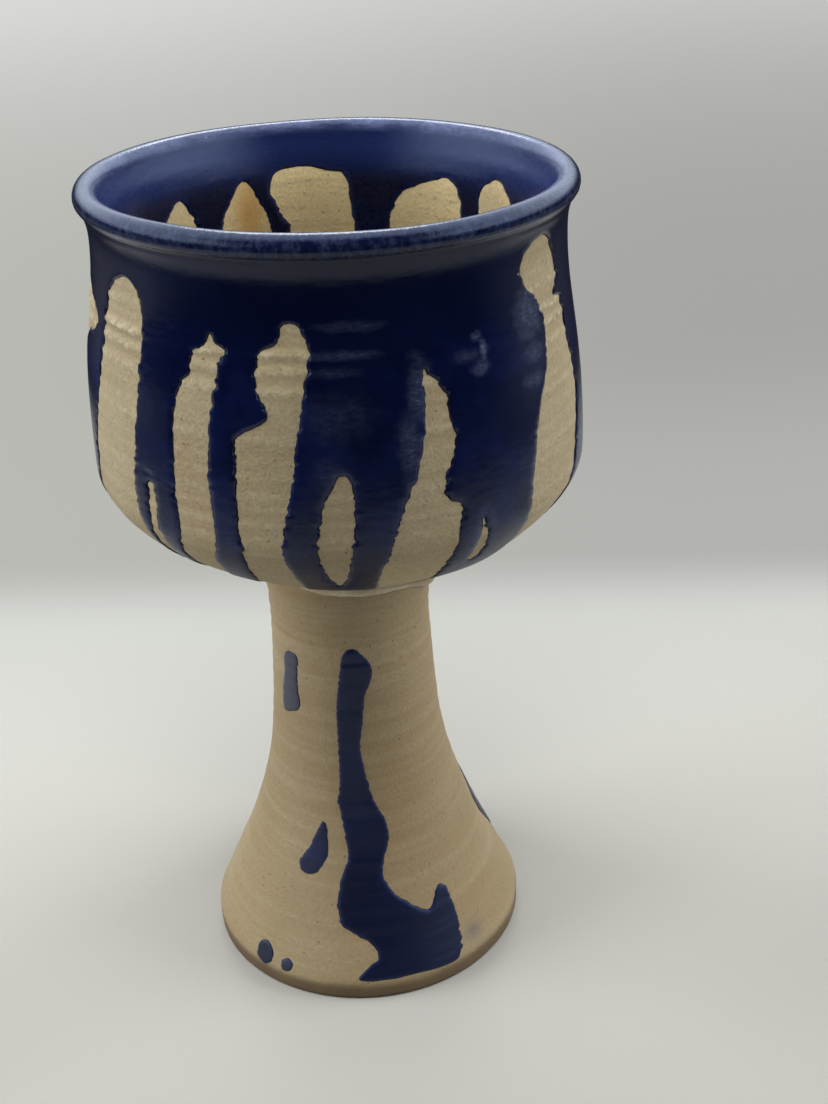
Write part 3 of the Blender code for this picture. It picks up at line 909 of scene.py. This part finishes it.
class Tree:
    """Short calls for building a node tree."""

    def __init__(self, tree):
        self.tree = tree

    def feed(self, socket, value):
        """Sets a socket to a number or a colour, or links it to another socket."""
        if isinstance(value, (int, float)):
            socket.default_value = value
        elif isinstance(value, tuple):
            socket.default_value = (*value, 1.0)
        else:
            self.tree.links.new(value, socket)

    def node(self, kind, inputs=None, **settings):
        made = self.tree.nodes.new(kind)
        for key, value in settings.items():
            setattr(made, key, value)
        for name, value in (inputs or {}).items():
            self.feed(made.inputs[name], value)
        return made

    def ramp(self, value, low, high, to_low=0.0, to_high=1.0):
        inputs = {"Value": value, "From Min": low, "From Max": high, "To Min": to_low, "To Max": to_high}
        made = self.node("ShaderNodeMapRange", inputs, interpolation_type="SMOOTHSTEP", clamp=True)
        return made.outputs["Result"]

    def math(self, operation, a, b=0.0):
        made = self.node("ShaderNodeMath", operation=operation)
        self.feed(made.inputs[0], a)
        self.feed(made.inputs[1], b)
        return made.outputs["Value"]

    def times(self, a, b):
        return self.math("MULTIPLY", a, b)

    def plus(self, a, b):
        return self.math("ADD", a, b)

    def larger(self, a, b):
        return self.math("MAXIMUM", a, b)

    def mix(self, share, a, b):
        made = self.node("ShaderNodeMix", data_type="RGBA")
        values = {"Factor": share, "A": a, "B": b}
        for socket in made.inputs:
            if socket.enabled and socket.name in values:
                self.feed(socket, values[socket.name])
        return next(s for s in made.outputs if s.enabled)

    def apart(self, vector):
        """Sockets X, Y and Z of a vector."""
        return self.node("ShaderNodeSeparateXYZ", {"Vector": vector}).outputs


class Nodes(Tree):
    """Short calls for building a material."""

    def __init__(self, name):
        self.material = bpy.data.materials.new(name)
        self.material.use_nodes = True
        super().__init__(self.material.node_tree)
        self.shader = self.tree.nodes["Principled BSDF"]

    def set(self, name, value):
        """Sets or links an input of the shader."""
        self.feed(self.shader.inputs[name], value)

    def place(self, stretch=(1.0, 1.0, 1.0)):
        """Object coordinates in metres, stretched along the axes."""
        where = self.node("ShaderNodeTexCoord").outputs["Object"]
        mapping = self.node("ShaderNodeMapping", {"Vector": where})
        mapping.inputs["Scale"].default_value = stretch
        return mapping.outputs["Vector"]

    def noise(self, per_metre, detail=3.0, rough=0.55, stretch=(1.0, 1.0, 1.0)):
        inputs = {"Scale": per_metre, "Detail": detail, "Roughness": rough, "Vector": self.place(stretch)}
        return self.node("ShaderNodeTexNoise", inputs).outputs["Fac"]

    def specks(self, per_metre, size, share):
        """1 in small dots, on a share of the cells of a random pattern."""
        cells = self.node("ShaderNodeTexVoronoi", {"Scale": per_metre, "Vector": self.place()})
        dot = self.ramp(cells.outputs["Distance"], size, 0.5 * size)
        lot = self.node("ShaderNodeSeparateColor", {"Color": cells.outputs["Color"]})
        chosen = self.ramp(lot.outputs["Red"], share + 0.02, share)
        return self.times(dot, chosen)

    def value(self, name):
        return self.node("ShaderNodeAttribute", attribute_name=name).outputs["Fac"]

    def bump(self, height, distance, strength):
        inputs = {"Strength": strength, "Distance": distance * MM, "Height": height}
        self.set("Normal", self.node("ShaderNodeBump", inputs).outputs["Normal"])

    def height(self):
        """Height above the floor in metres."""
        return self.apart(self.place())["Z"]


def clay_material():
    """Bare buff stoneware: broad warm blushes, turning lines, iron specks and a fine grain, with painted
    light and shade.
    """
    n = Nodes("buff_stoneware")
    broad = n.ramp(n.noise(38.0, 2.0), 0.36, 0.66)
    colour = n.mix(broad, (0.425, 0.357, 0.229), (0.362, 0.290, 0.174))
    # The warm mark: painted shade low on the bowl and at the front of the stem, and the stem's own tone at
    # random
    warm = n.value("warm")
    colour = n.mix(warm, colour, (0.345, 0.252, 0.132))
    # The inside mark: paler clay inside the bowl, partly painted light where the inside lies in shade, and
    # painted light low on the bowl and high at the front
    colour = n.mix(n.value("inside"), colour, (0.980, 0.790, 0.415))
    lines = n.ramp(n.noise(60.0, 4.0, 0.6, (0.25, 0.25, 9.0)), 0.40, 0.70)
    colour = n.mix(n.times(lines, 0.30), colour, (0.490, 0.420, 0.282))
    grain = n.noise(1500.0, 3.0, 0.65)
    coarse = n.ramp(grain, 0.36, 0.62, 0.30, 0.0)
    coarse = n.times(coarse, n.ramp(n.value("inside"), 0.0, 1.0, 1.0, 0.45))
    colour = n.mix(coarse, colour, (0.235, 0.175, 0.095))
    # Pale dots on the ring crests: slip on them, partly painted highlight
    dotted = n.ramp(n.noise(800.0, 2.0, 0.6), 0.46, 0.62, 0.12, 0.85)
    colour = n.mix(n.times(n.value("ring"), dotted), colour, (0.640, 0.565, 0.410))
    pits = n.ramp(n.noise(800.0, 2.0, 0.6, (1.0, 1.0, 1.6)), 0.62, 0.72)
    colour = n.mix(n.times(pits, 0.45), colour, (0.240, 0.140, 0.060))
    colour = n.mix(n.times(n.specks(620.0, 0.16, 0.14), 0.7), colour, (0.090, 0.060, 0.032))
    colour = n.mix(n.value("iron"), colour, (0.640, 0.360, 0.100))
    colour = n.mix(n.value("burn_and_shadow"), colour, (0.120, 0.078, 0.044))
    colour = n.mix(n.value("stain"), colour, (0.100, 0.110, 0.150))
    n.set("Base Color", colour)
    n.set("Roughness", n.ramp(grain, 0.3, 0.7, 0.66, 0.84))
    n.bump(n.plus(grain, n.times(n.noise(420.0, 2.0), 0.8)), 0.18, 0.8)
    return n.material


def slip_material():
    """Pale dry slip squeezed out of the joint, with painted shadow under the crack."""
    n = Nodes("pale_slip")
    patches = n.ramp(n.noise(160.0, 3.0), 0.36, 0.64)
    colour = n.mix(patches, (0.680, 0.600, 0.445), (0.540, 0.455, 0.305))
    grain = n.noise(1500.0, 3.0, 0.65)
    colour = n.mix(n.ramp(grain, 0.38, 0.64, 0.25, 0.0), colour, (0.245, 0.180, 0.100))
    # On the slip this mark is painted shadow under the crack
    colour = n.mix(n.value("burn_and_shadow"), colour, (0.115, 0.068, 0.032))
    n.set("Base Color", colour)
    n.set("Roughness", n.ramp(grain, 0.3, 0.7, 0.72, 0.88))
    n.bump(n.plus(grain, n.noise(380.0, 2.0)), 0.2, 0.8)
    return n.material


def glaze_material():
    """Cobalt glaze: near black where thick, bluer where thin, mottled on the lip and worn in places."""
    n = Nodes("cobalt_glaze")
    film = n.value("film")
    cloudy = n.ramp(n.noise(90.0, 3.0), 0.36, 0.66)
    colour = n.mix(cloudy, (0.0019, 0.0042, 0.0285), (0.0041, 0.0088, 0.0510))
    colour = n.mix(n.ramp(n.height(), 0.134, 0.152, 0.0, 0.75), colour, (0.0011, 0.0027, 0.0195))
    colour = n.mix(n.ramp(n.height(), 0.034, 0.014, 0.0, 0.6), colour, (0.0014, 0.0028, 0.0140))
    thin = n.ramp(film, 0.95, 0.10)
    colour = n.mix(thin, colour, (0.0100, 0.0195, 0.0880))
    mottle = n.ramp(n.noise(900.0, 4.0, 0.65, (1.0, 1.0, 0.6)), 0.40, 0.72)
    mottle = n.times(mottle, n.times(n.value("lip"), 0.7))
    colour = n.mix(mottle, colour, (0.036, 0.052, 0.115))
    streaky = n.noise(700.0, 4.0, 0.7, (1.0, 1.0, 2.4))
    scuff = n.times(n.value("worn"), n.ramp(streaky, 0.32, 0.70, 0.30, 1.0))
    colour = n.mix(n.times(scuff, 0.8), colour, (0.084, 0.104, 0.182))
    colour = n.mix(n.value("sheer"), colour, (0.130, 0.128, 0.140))
    colour = n.mix(n.times(n.specks(130.0, 0.035, 0.35), 0.7), colour, (0.260, 0.290, 0.360))
    # Pale glaze over the inner edge of the lip: a pale break, partly painted reflection
    pale_break_and_reflection = n.times(n.value("pale"), n.ramp(streaky, 0.30, 0.70, 0.35, 1.0))
    colour = n.mix(pale_break_and_reflection, colour, (0.140, 0.168, 0.330))
    n.set("Base Color", colour)
    fine = n.noise(1100.0, 2.0, 0.5)
    dull = n.ramp(n.height(), 0.128, 0.096, 0.0, 0.26)
    dull = n.larger(dull, n.times(n.value("satin"), 0.14))
    dull = n.larger(n.times(scuff, 0.2), dull)
    n.set("Roughness", n.plus(n.ramp(fine, 0.3, 0.7, 0.12, 0.18), dull))
    n.set("IOR", 1.5)
    n.set("Specular Tint", (0.80, 0.89, 1.0))
    waves = n.noise(260.0, 2.0, 0.5, (1.0, 1.0, 2.2))
    pits = n.times(fine, n.plus(n.times(n.value("lip"), 0.5), 0.18))
    grit = n.times(n.noise(2600.0, 1.0), n.times(n.value("lip"), 0.70))
    n.bump(n.plus(n.plus(waves, pits), grit), 0.10, 0.45)
    return n.material


CLAY = clay_material()
SLIP = slip_material()
GLAZE = glaze_material()


# Pieces


def dress(piece, node):
    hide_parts(node)
    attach(piece, "root")
    return piece


def bowl_rings(rows_in, shape):
    """Crests of the throwing rings on the outer side of the bowl, 0 elsewhere."""
    columns, rows = shape
    rows_out = rows - rows_in - 1
    turn = all_round(columns)[:, None] + np.zeros(rows_out)
    height = OUTSIDE.at(np.linspace(0.0, OUTSIDE.length, rows_out))[1] + 0 * turn
    ring = np.zeros(shape)
    ring[:, rows_in:-1] = ring_crests(turn, height)[0]
    return ring


def bowl_painted_shade(turned, z, rows_in):
    """Painted shade, warm and dark, low on the left of the front."""
    warm = 0.5 * (1.0 - smoothstep(122.0, 142.0, z)) * bell(turned, -30.0, 16.0)
    warm[:, :rows_in] = 0.0
    return warm


def bowl_pale_clay_and_painted_light(turned, z, rows_in):
    """Paler clay inside, partly painted light where the inside lies in shade, and a little painted light low
    down and at the top of the front.
    """
    high = smoothstep(134.0, 146.0, z) * bell(turned, -5.0, 30.0)
    below = (1.0 - smoothstep(98.0, 116.0, z)) * (0.10 + 0.18 * smoothstep(-4.0, 14.0, turned))
    pale = np.ones_like(turned)
    for place, width, size in DUSKY:
        pale -= size * bell(turned, place, width)
    return np.concatenate([pale[:, :rows_in], (below + 0.16 * high)[:, rows_in:]], axis=1)


def bowl_iron(points):
    """A rusty streak in one window inside."""
    place, height, size = IRON_STREAK
    streak_at = leaned(np.array(place) * (NECK_R - BOWL_WALL) + (0.0, 0.0, height))
    away = np.linalg.norm((points - streak_at) / size, axis=-1)
    return np.clip(1.15 - away, 0.0, 1.0) * 0.9


def make_bowl():
    """The thrown bowl: its inner side from the floor up to the lip, its outer side down to the seat."""
    outside = dented(turned_rows(OUTSIDE, CLAY_STEP, CLAY_COLUMNS))
    inside = leaned(turned_rows(INSIDE, CLAY_STEP * 1.6, CLAY_COLUMNS))
    floor_to_lip = inside[:, -2:0:-1]
    middle = leaned(np.array([0.0, 0.0, SEAT_Z]))
    seat = outside[:, -1:] * 0.5 + middle * 0.5
    grids = [floor_to_lip, outside, seat]
    bowl = turned_clay("bowl_clay", grids, False, CLAY)
    points = np.concatenate(grids, axis=1)
    rows_in = floor_to_lip.shape[1]
    turned, z = turn_of(points), points[..., 2]
    add_value(bowl, "ring", bowl_rings(rows_in, z.shape))
    add_value(bowl, "warm", bowl_painted_shade(turned, z, rows_in))
    add_value(bowl, "inside", bowl_pale_clay_and_painted_light(turned, z, rows_in))
    add_value(bowl, "iron", bowl_iron(points))
    dress(bowl, "bowl")


def make_stem():
    """The hollow stem: outer side, foot ring and hollow, closed over its top edge."""
    outside = settled(turned_rows(STEM, CLAY_STEP, CLAY_COLUMNS))
    hollow = settled(turned_rows(HOLLOW, CLAY_STEP * 3, CLAY_COLUMNS))
    outside[..., 2] = np.maximum(outside[..., 2], 0.0)
    hollow[..., 2] = np.maximum(hollow[..., 2], 0.0)
    stem = turned_clay("stem_clay", [outside, hollow], True, CLAY)
    points = np.concatenate([outside, hollow], axis=1).reshape(-1, 3)
    scorch = 0.5 + 0.5 * cloud(points, 9.0, 52)
    warm = 0.48 + 0.45 * np.clip(cloud(points * (1.0, 1.0, 0.6), 24.0, 50) + 0.25, 0.0, 1.0)
    turn, z = turn_of(points), points[:, 2]
    # Painted shade, warm and dark, at the right of the front of the stem
    warm = warm + 0.55 * patch(turn, z, *STEM_PAINTED_SHADE)
    burn_and_shadow = (1.0 - smoothstep(1.6 + 1.2 * scorch, 3.6 + 2.4 * scorch, z)) * (0.65 + 0.35 * scorch)
    smear = patch(turn, z, *STEM_SMEAR)
    add_value(stem, "warm", warm)
    add_value(stem, "burn_and_shadow", burn_and_shadow)
    add_value(stem, "stain", 0.5 * smear)
    dress(stem, "stem")


def make_collar():
    """The slip ring: a lumpy bead squeezed out between the seat and the stem."""
    columns, around = CLAY_COLUMNS, 22
    turn, angle = np.meshgrid(all_round(columns), all_round(around), indexing="ij")
    lump = banded(turn, 0 * turn, 1.0, 2.4, 60)
    fine = banded(turn, 2.0 * np.cos(angle), 1.0, 9.0, 61)
    middle_z = (STEM_Z + SEAT_Z) / 2
    squeezed = np.zeros_like(turn)
    for place, width, size in SQUEEZED:
        squeezed += size * bell(wrapped(np.degrees(turn) - place), 0.0, width)
    out = COLLAR_OUT + 0.35 * lump + 0.12 * fine + squeezed
    tall = COLLAR_TALL + 0.30 * lump + 0.12 * fine + 0.6 * squeezed
    r = COLLAR_R - COLLAR_OUT + out * np.cos(angle)
    sag = math.sin(BOWL_LEAN) * 8.0 * np.sin(turn) + 0.8 * np.maximum(squeezed - 0.6, 0.0) * np.sin(turn)
    points = settled(spun(turn, r, middle_z - sag - tall * np.sin(angle)))
    points[..., 2] += 0.5 * crack_gap(points)
    faces = ring_faces(columns, around, wrap_rows=True)
    collar = finish_mesh("slip_collar", points.reshape(-1, 3), faces, SLIP)
    # Painted shadow: the slip is darkened on its upper side under the crack
    place, width = CRACK_SHADE
    shade = bell(wrapped(np.degrees(turn) - place), 0.0, width) * smoothstep(-0.5, 0.1, -np.sin(angle))
    add_value(collar, "burn_and_shadow", 0.9 * shade)
    dress(collar, "joint_collar")


def make_coat(node, side, least_r, step, cover_at, film_at, marks, move):
    """A coat of glaze all round one side of the bowl, from the crest of the lip down to a radius."""
    reach = np.interp(least_r, side.r[::-1], side.run[::-1])
    run = np.linspace(0.0, reach, round(reach / step))
    azimuth = all_round(COAT_COLUMNS)
    coat = film_piece(node + "_film", side, azimuth, run, True, cover_at, film_at, marks, move)
    dress(coat, node)


def make_bowl_glaze():
    make_coat(
        "outer_glaze", OUTSIDE, SEAT_R + 0.8, COAT_STEP, outer_cover, outer_film,
        {"worn": outer_worn, "lip": outer_lip, "level": outer_turning}, dented,
    )
    make_coat(
        "inner_glaze", INSIDE, 0.4, COAT_STEP * 1.3, inner_cover, inner_film,
        {"lip": inner_lip, "satin": inner_satin, "pale": inner_pale_and_reflection}, leaned,
    )


def make_joint_run():
    """The front finger where it runs from the bowl over the slip ring."""
    start_r = SEAT_R + 4.0
    start_z = float(np.interp(start_r, OUTSIDE.r[::-1], OUTSIDE.z[::-1]))
    path = bezier(
        (start_r, start_z), (SEAT_R + 2.4, SEAT_Z + 0.1),
        (COLLAR_R + 0.1, SEAT_Z + 0.2), (COLLAR_R, STEM_Z - 0.6),
    )
    joint = Side(joined(path, np.array([path[-1], (STEM_TOP_R, STEM_Z - 4.0)])), 1.0, nothing)
    azimuth = np.radians(np.linspace(-34.0, 26.0, 90))
    run = np.linspace(0.0, joint.length, 40)

    def cover(turn, along, r, z):
        inside = -distance_outside(turn, along, JOINT_RUN, SEAT_R)
        return np.minimum(inside + 0.3 * rough_edge(turn, along, SEAT_R, 90), along - 0.05)

    run_over = film_piece("joint_run_film", joint, azimuth, run, False, cover, plain_film, {}, over_joint)
    dress(run_over, "outer_glaze")


def make_stem_runs():
    for index, (name, outline) in enumerate(STEM_RUNS.items()):
        turns = [p[0] for p in outline]
        heights = [p[1] for p in outline]
        radius = float(np.interp(np.mean(heights), STEM.z[::-1], STEM.r[::-1]))
        margin = math.degrees(PATCH_MARGIN / radius)
        span = math.radians(max(turns) - min(turns) + 2 * margin)
        columns = max(12, round(span * radius / PATCH_STEP))
        azimuth = math.radians(min(turns) - margin) + np.linspace(0.0, span, columns)
        top = np.interp(-(max(heights) + PATCH_MARGIN), -STEM.z, STEM.run)
        low = np.interp(-(min(heights) - PATCH_MARGIN), -STEM.z, STEM.run)
        run = np.linspace(top, low, max(8, round((low - top) / PATCH_STEP)))

        def cover(turn, along, r, z, outline=outline, radius=radius, seed=70 + 3 * index):
            inside = -distance_outside(turn, z, outline, radius)
            return inside + 0.6 * rough_edge(turn, z, radius, seed)

        def sheer(turn, along, r, z, share=SHEER.get(name, 0.0)):
            return np.full(z.shape, share)

        marks = {"sheer": sheer}
        piece = film_piece(name + "_film", STEM, azimuth, run, False, cover, plain_film, marks, settled)
        dress(piece, name)


make_bowl()
make_stem()
make_collar()
make_bowl_glaze()
make_joint_run()
make_stem_runs()


# Studio

# The camera: place in millimetres from the axis and the floor, angles in radians
CAMERA_BACK = 274.6
CAMERA_HEIGHT = 228.5
CAMERA_YAW = 0.0499
CAMERA_PITCH = 0.4764
CAMERA_ROLL = -0.0458
CAMERA_LENS = 49.92

# Where the table ends behind the object, in metres, how soft its edge is and how far it runs askew
TABLE_BACK = 0.144
TABLE_BLUR = 0.026
TABLE_SKEW = 0.10

# Distances over which the floor goes dark in the reflections, and over which some of it shows at the sides
REFLECTED_FLOOR = (0.22, 0.42)
REFLECTED_ASIDE = (0.22, 0.62)

# Even light of the room, and its grey as the camera sees it
ROOM_LIGHT = (0.155, 0.155, 0.159)
ROOM_SEEN = (0.52, 0.525, 0.51)


def add_camera():
    """The camera where the photograph's rim, foot and outline put it."""
    yaw, pitch, roll = CAMERA_YAW, CAMERA_PITCH, CAMERA_ROLL
    right = Vector((math.cos(yaw), -math.sin(yaw), 0.0))
    forward = Vector((math.sin(yaw) * math.cos(pitch), math.cos(yaw) * math.cos(pitch), -math.sin(pitch)))
    up = right.cross(forward)
    side = right * math.cos(roll) + up * math.sin(roll)
    top = up * math.cos(roll) - right * math.sin(roll)
    data = bpy.data.cameras.new("camera")
    data.lens = CAMERA_LENS
    data.sensor_width = 36.0
    data.clip_start = 0.01
    camera = bpy.data.objects.new("camera", data)
    place = Matrix((side, top, -forward)).transposed().to_4x4()
    place.translation = Vector((0.0, -CAMERA_BACK, CAMERA_HEIGHT)) * MM
    camera.matrix_world = place
    bpy.context.scene.collection.objects.link(camera)
    bpy.context.scene.camera = camera


def floor_material():
    """Pale table that turns to the grey of the room behind it, with a dark room in the reflections and
    painted light and shade on table and grey.
    """
    n = Nodes("pale_floor")
    parts = n.apart(n.place())
    x, y = parts["X"], parts["Y"]
    edge = n.plus(y, n.times(x, TABLE_SKEW))
    away = n.ramp(edge, TABLE_BACK - TABLE_BLUR, TABLE_BACK + TABLE_BLUR)
    across = n.ramp(n.math("DIVIDE", x, n.plus(n.math("ABSOLUTE", y), 0.27)), -0.27, 0.27)
    # Painted light on the grey behind, which glows for the camera: lighter at the left and far off, darker
    # at the right
    near_wall = n.mix(across, (0.486, 0.492, 0.458), (0.450, 0.454, 0.428))
    middle_wall = n.mix(across, (0.482, 0.488, 0.454), (0.382, 0.384, 0.363))
    far_wall = n.mix(across, (0.695, 0.702, 0.682), (0.585, 0.592, 0.572))
    wall = n.mix(n.ramp(y, 0.18, 0.36), near_wall, middle_wall)
    wall = n.mix(n.ramp(y, 0.40, 1.70), wall, far_wall)
    distance = n.math("SQRT", n.plus(n.times(x, x), n.times(y, y)))
    wall = n.mix(n.ramp(distance, 2.0, 5.0), wall, ROOM_SEEN)
    wall = n.mix(away, ROOM_SEEN, wall)
    rays = n.node("ShaderNodeLightPath")
    plain = n.larger(away, n.ramp(distance, 0.40, 1.10))
    seen = n.times(plain, rays.outputs["Is Camera Ray"])
    # Painted light and shade on the table: darker at the front near the foot and towards the right, lighter
    # in the middle
    table = n.mix(n.ramp(y, -0.05, 0.02), (0.454, 0.449, 0.420), (0.560, 0.558, 0.525))
    table = n.mix(n.ramp(y, 0.04, 0.14), table, (0.512, 0.522, 0.494))
    table = n.mix(n.times(n.ramp(x, -0.02, 0.12), 0.05), table, (0.0, 0.0, 0.0))
    colour = n.mix(away, table, wall)
    colour = n.mix(n.times(rays.outputs["Is Diffuse Ray"], 0.25), colour, (0.0, 0.0, 0.0))
    colour = n.mix(seen, colour, (0.0, 0.0, 0.0))
    beside = n.times(n.ramp(n.math("ABSOLUTE", x), *REFLECTED_ASIDE), n.ramp(y, -0.35, 0.10))
    shown = n.times(beside, 0.25)
    beyond = n.larger(n.ramp(distance, 0.05, 0.15, 0.45, 0.12), n.ramp(distance, *REFLECTED_FLOOR))
    beyond = n.math("SUBTRACT", beyond, shown)
    colour = n.mix(n.times(beyond, rays.outputs["Is Glossy Ray"]), colour, (0.02, 0.02, 0.022))
    n.set("Base Color", colour)
    n.set("Emission Color", wall)
    n.set("Emission Strength", seen)
    n.set("Roughness", 0.8)
    n.set("Specular IOR Level", 0.0)
    return n.material


def add_floor():
    mesh = bpy.data.meshes.new("floor")
    size = 9.0
    corners = [(-size, -size, 0.0), (size, -size, 0.0), (size, size, 0.0), (-size, size, 0.0)]
    mesh.from_pydata(corners, [], [(0, 1, 2, 3)])
    mesh.materials.append(floor_material())
    floor = bpy.data.objects.new("floor", mesh)
    bpy.context.scene.collection.objects.link(floor)


def add_lamp(name, location, size, power, colour, reflected=True):
    target = (0.0, 0.0, 0.1)
    data = bpy.data.lights.new(name, "AREA")
    data.shape = "DISK"
    data.size = size
    data.energy = power
    data.color = colour
    lamp = bpy.data.objects.new(name, data)
    lamp.location = location
    lamp.rotation_euler = (Vector(target) - Vector(location)).to_track_quat("-Z", "Y").to_euler()
    lamp.visible_camera = False
    lamp.visible_glossy = reflected
    bpy.context.scene.collection.objects.link(lamp)


def add_world():
    """Even light from the room, a plain grey behind the object, and a dark front in the reflections."""
    world = bpy.data.worlds.new("studio")
    world.use_nodes = True
    n = Tree(world.node_tree)
    rays = n.node("ShaderNodeLightPath")
    parts = n.apart(n.node("ShaderNodeTexCoord").outputs["Generated"])
    aside = n.ramp(n.math("ABSOLUTE", parts["X"]), 0.48, 0.88)
    behind = n.ramp(parts["Y"], -0.54, 0.03)
    glow = n.times(n.larger(aside, behind), n.ramp(parts["Z"], 0.0, 0.34))
    reflected = n.mix(glow, (0.03, 0.03, 0.034), (1.62, 1.80, 2.15))
    colour = n.mix(rays.outputs["Is Glossy Ray"], ROOM_LIGHT, reflected)
    colour = n.mix(rays.outputs["Is Camera Ray"], colour, ROOM_SEEN)
    n.feed(world.node_tree.nodes["Background"].inputs["Color"], colour)
    bpy.context.scene.world = world


add_camera()
add_floor()
add_world()
add_lamp("left", (-0.85, 0.0, 0.56), 0.75, 8.0, (0.98, 0.995, 1.0), False)
add_lamp("right", (0.85, 0.0, 0.56), 0.75, 6.9, (0.98, 0.995, 1.0), False)
add_lamp("crest", (0.0, 0.80, 0.85), 0.42, 2.6, (1.0, 0.99, 0.97))
add_lamp("ceiling", (0.0, -0.24, 1.00), 0.6, 4.6, (1.0, 0.98, 0.95), False)
bpy.context.scene.view_settings.view_transform = "Standard"
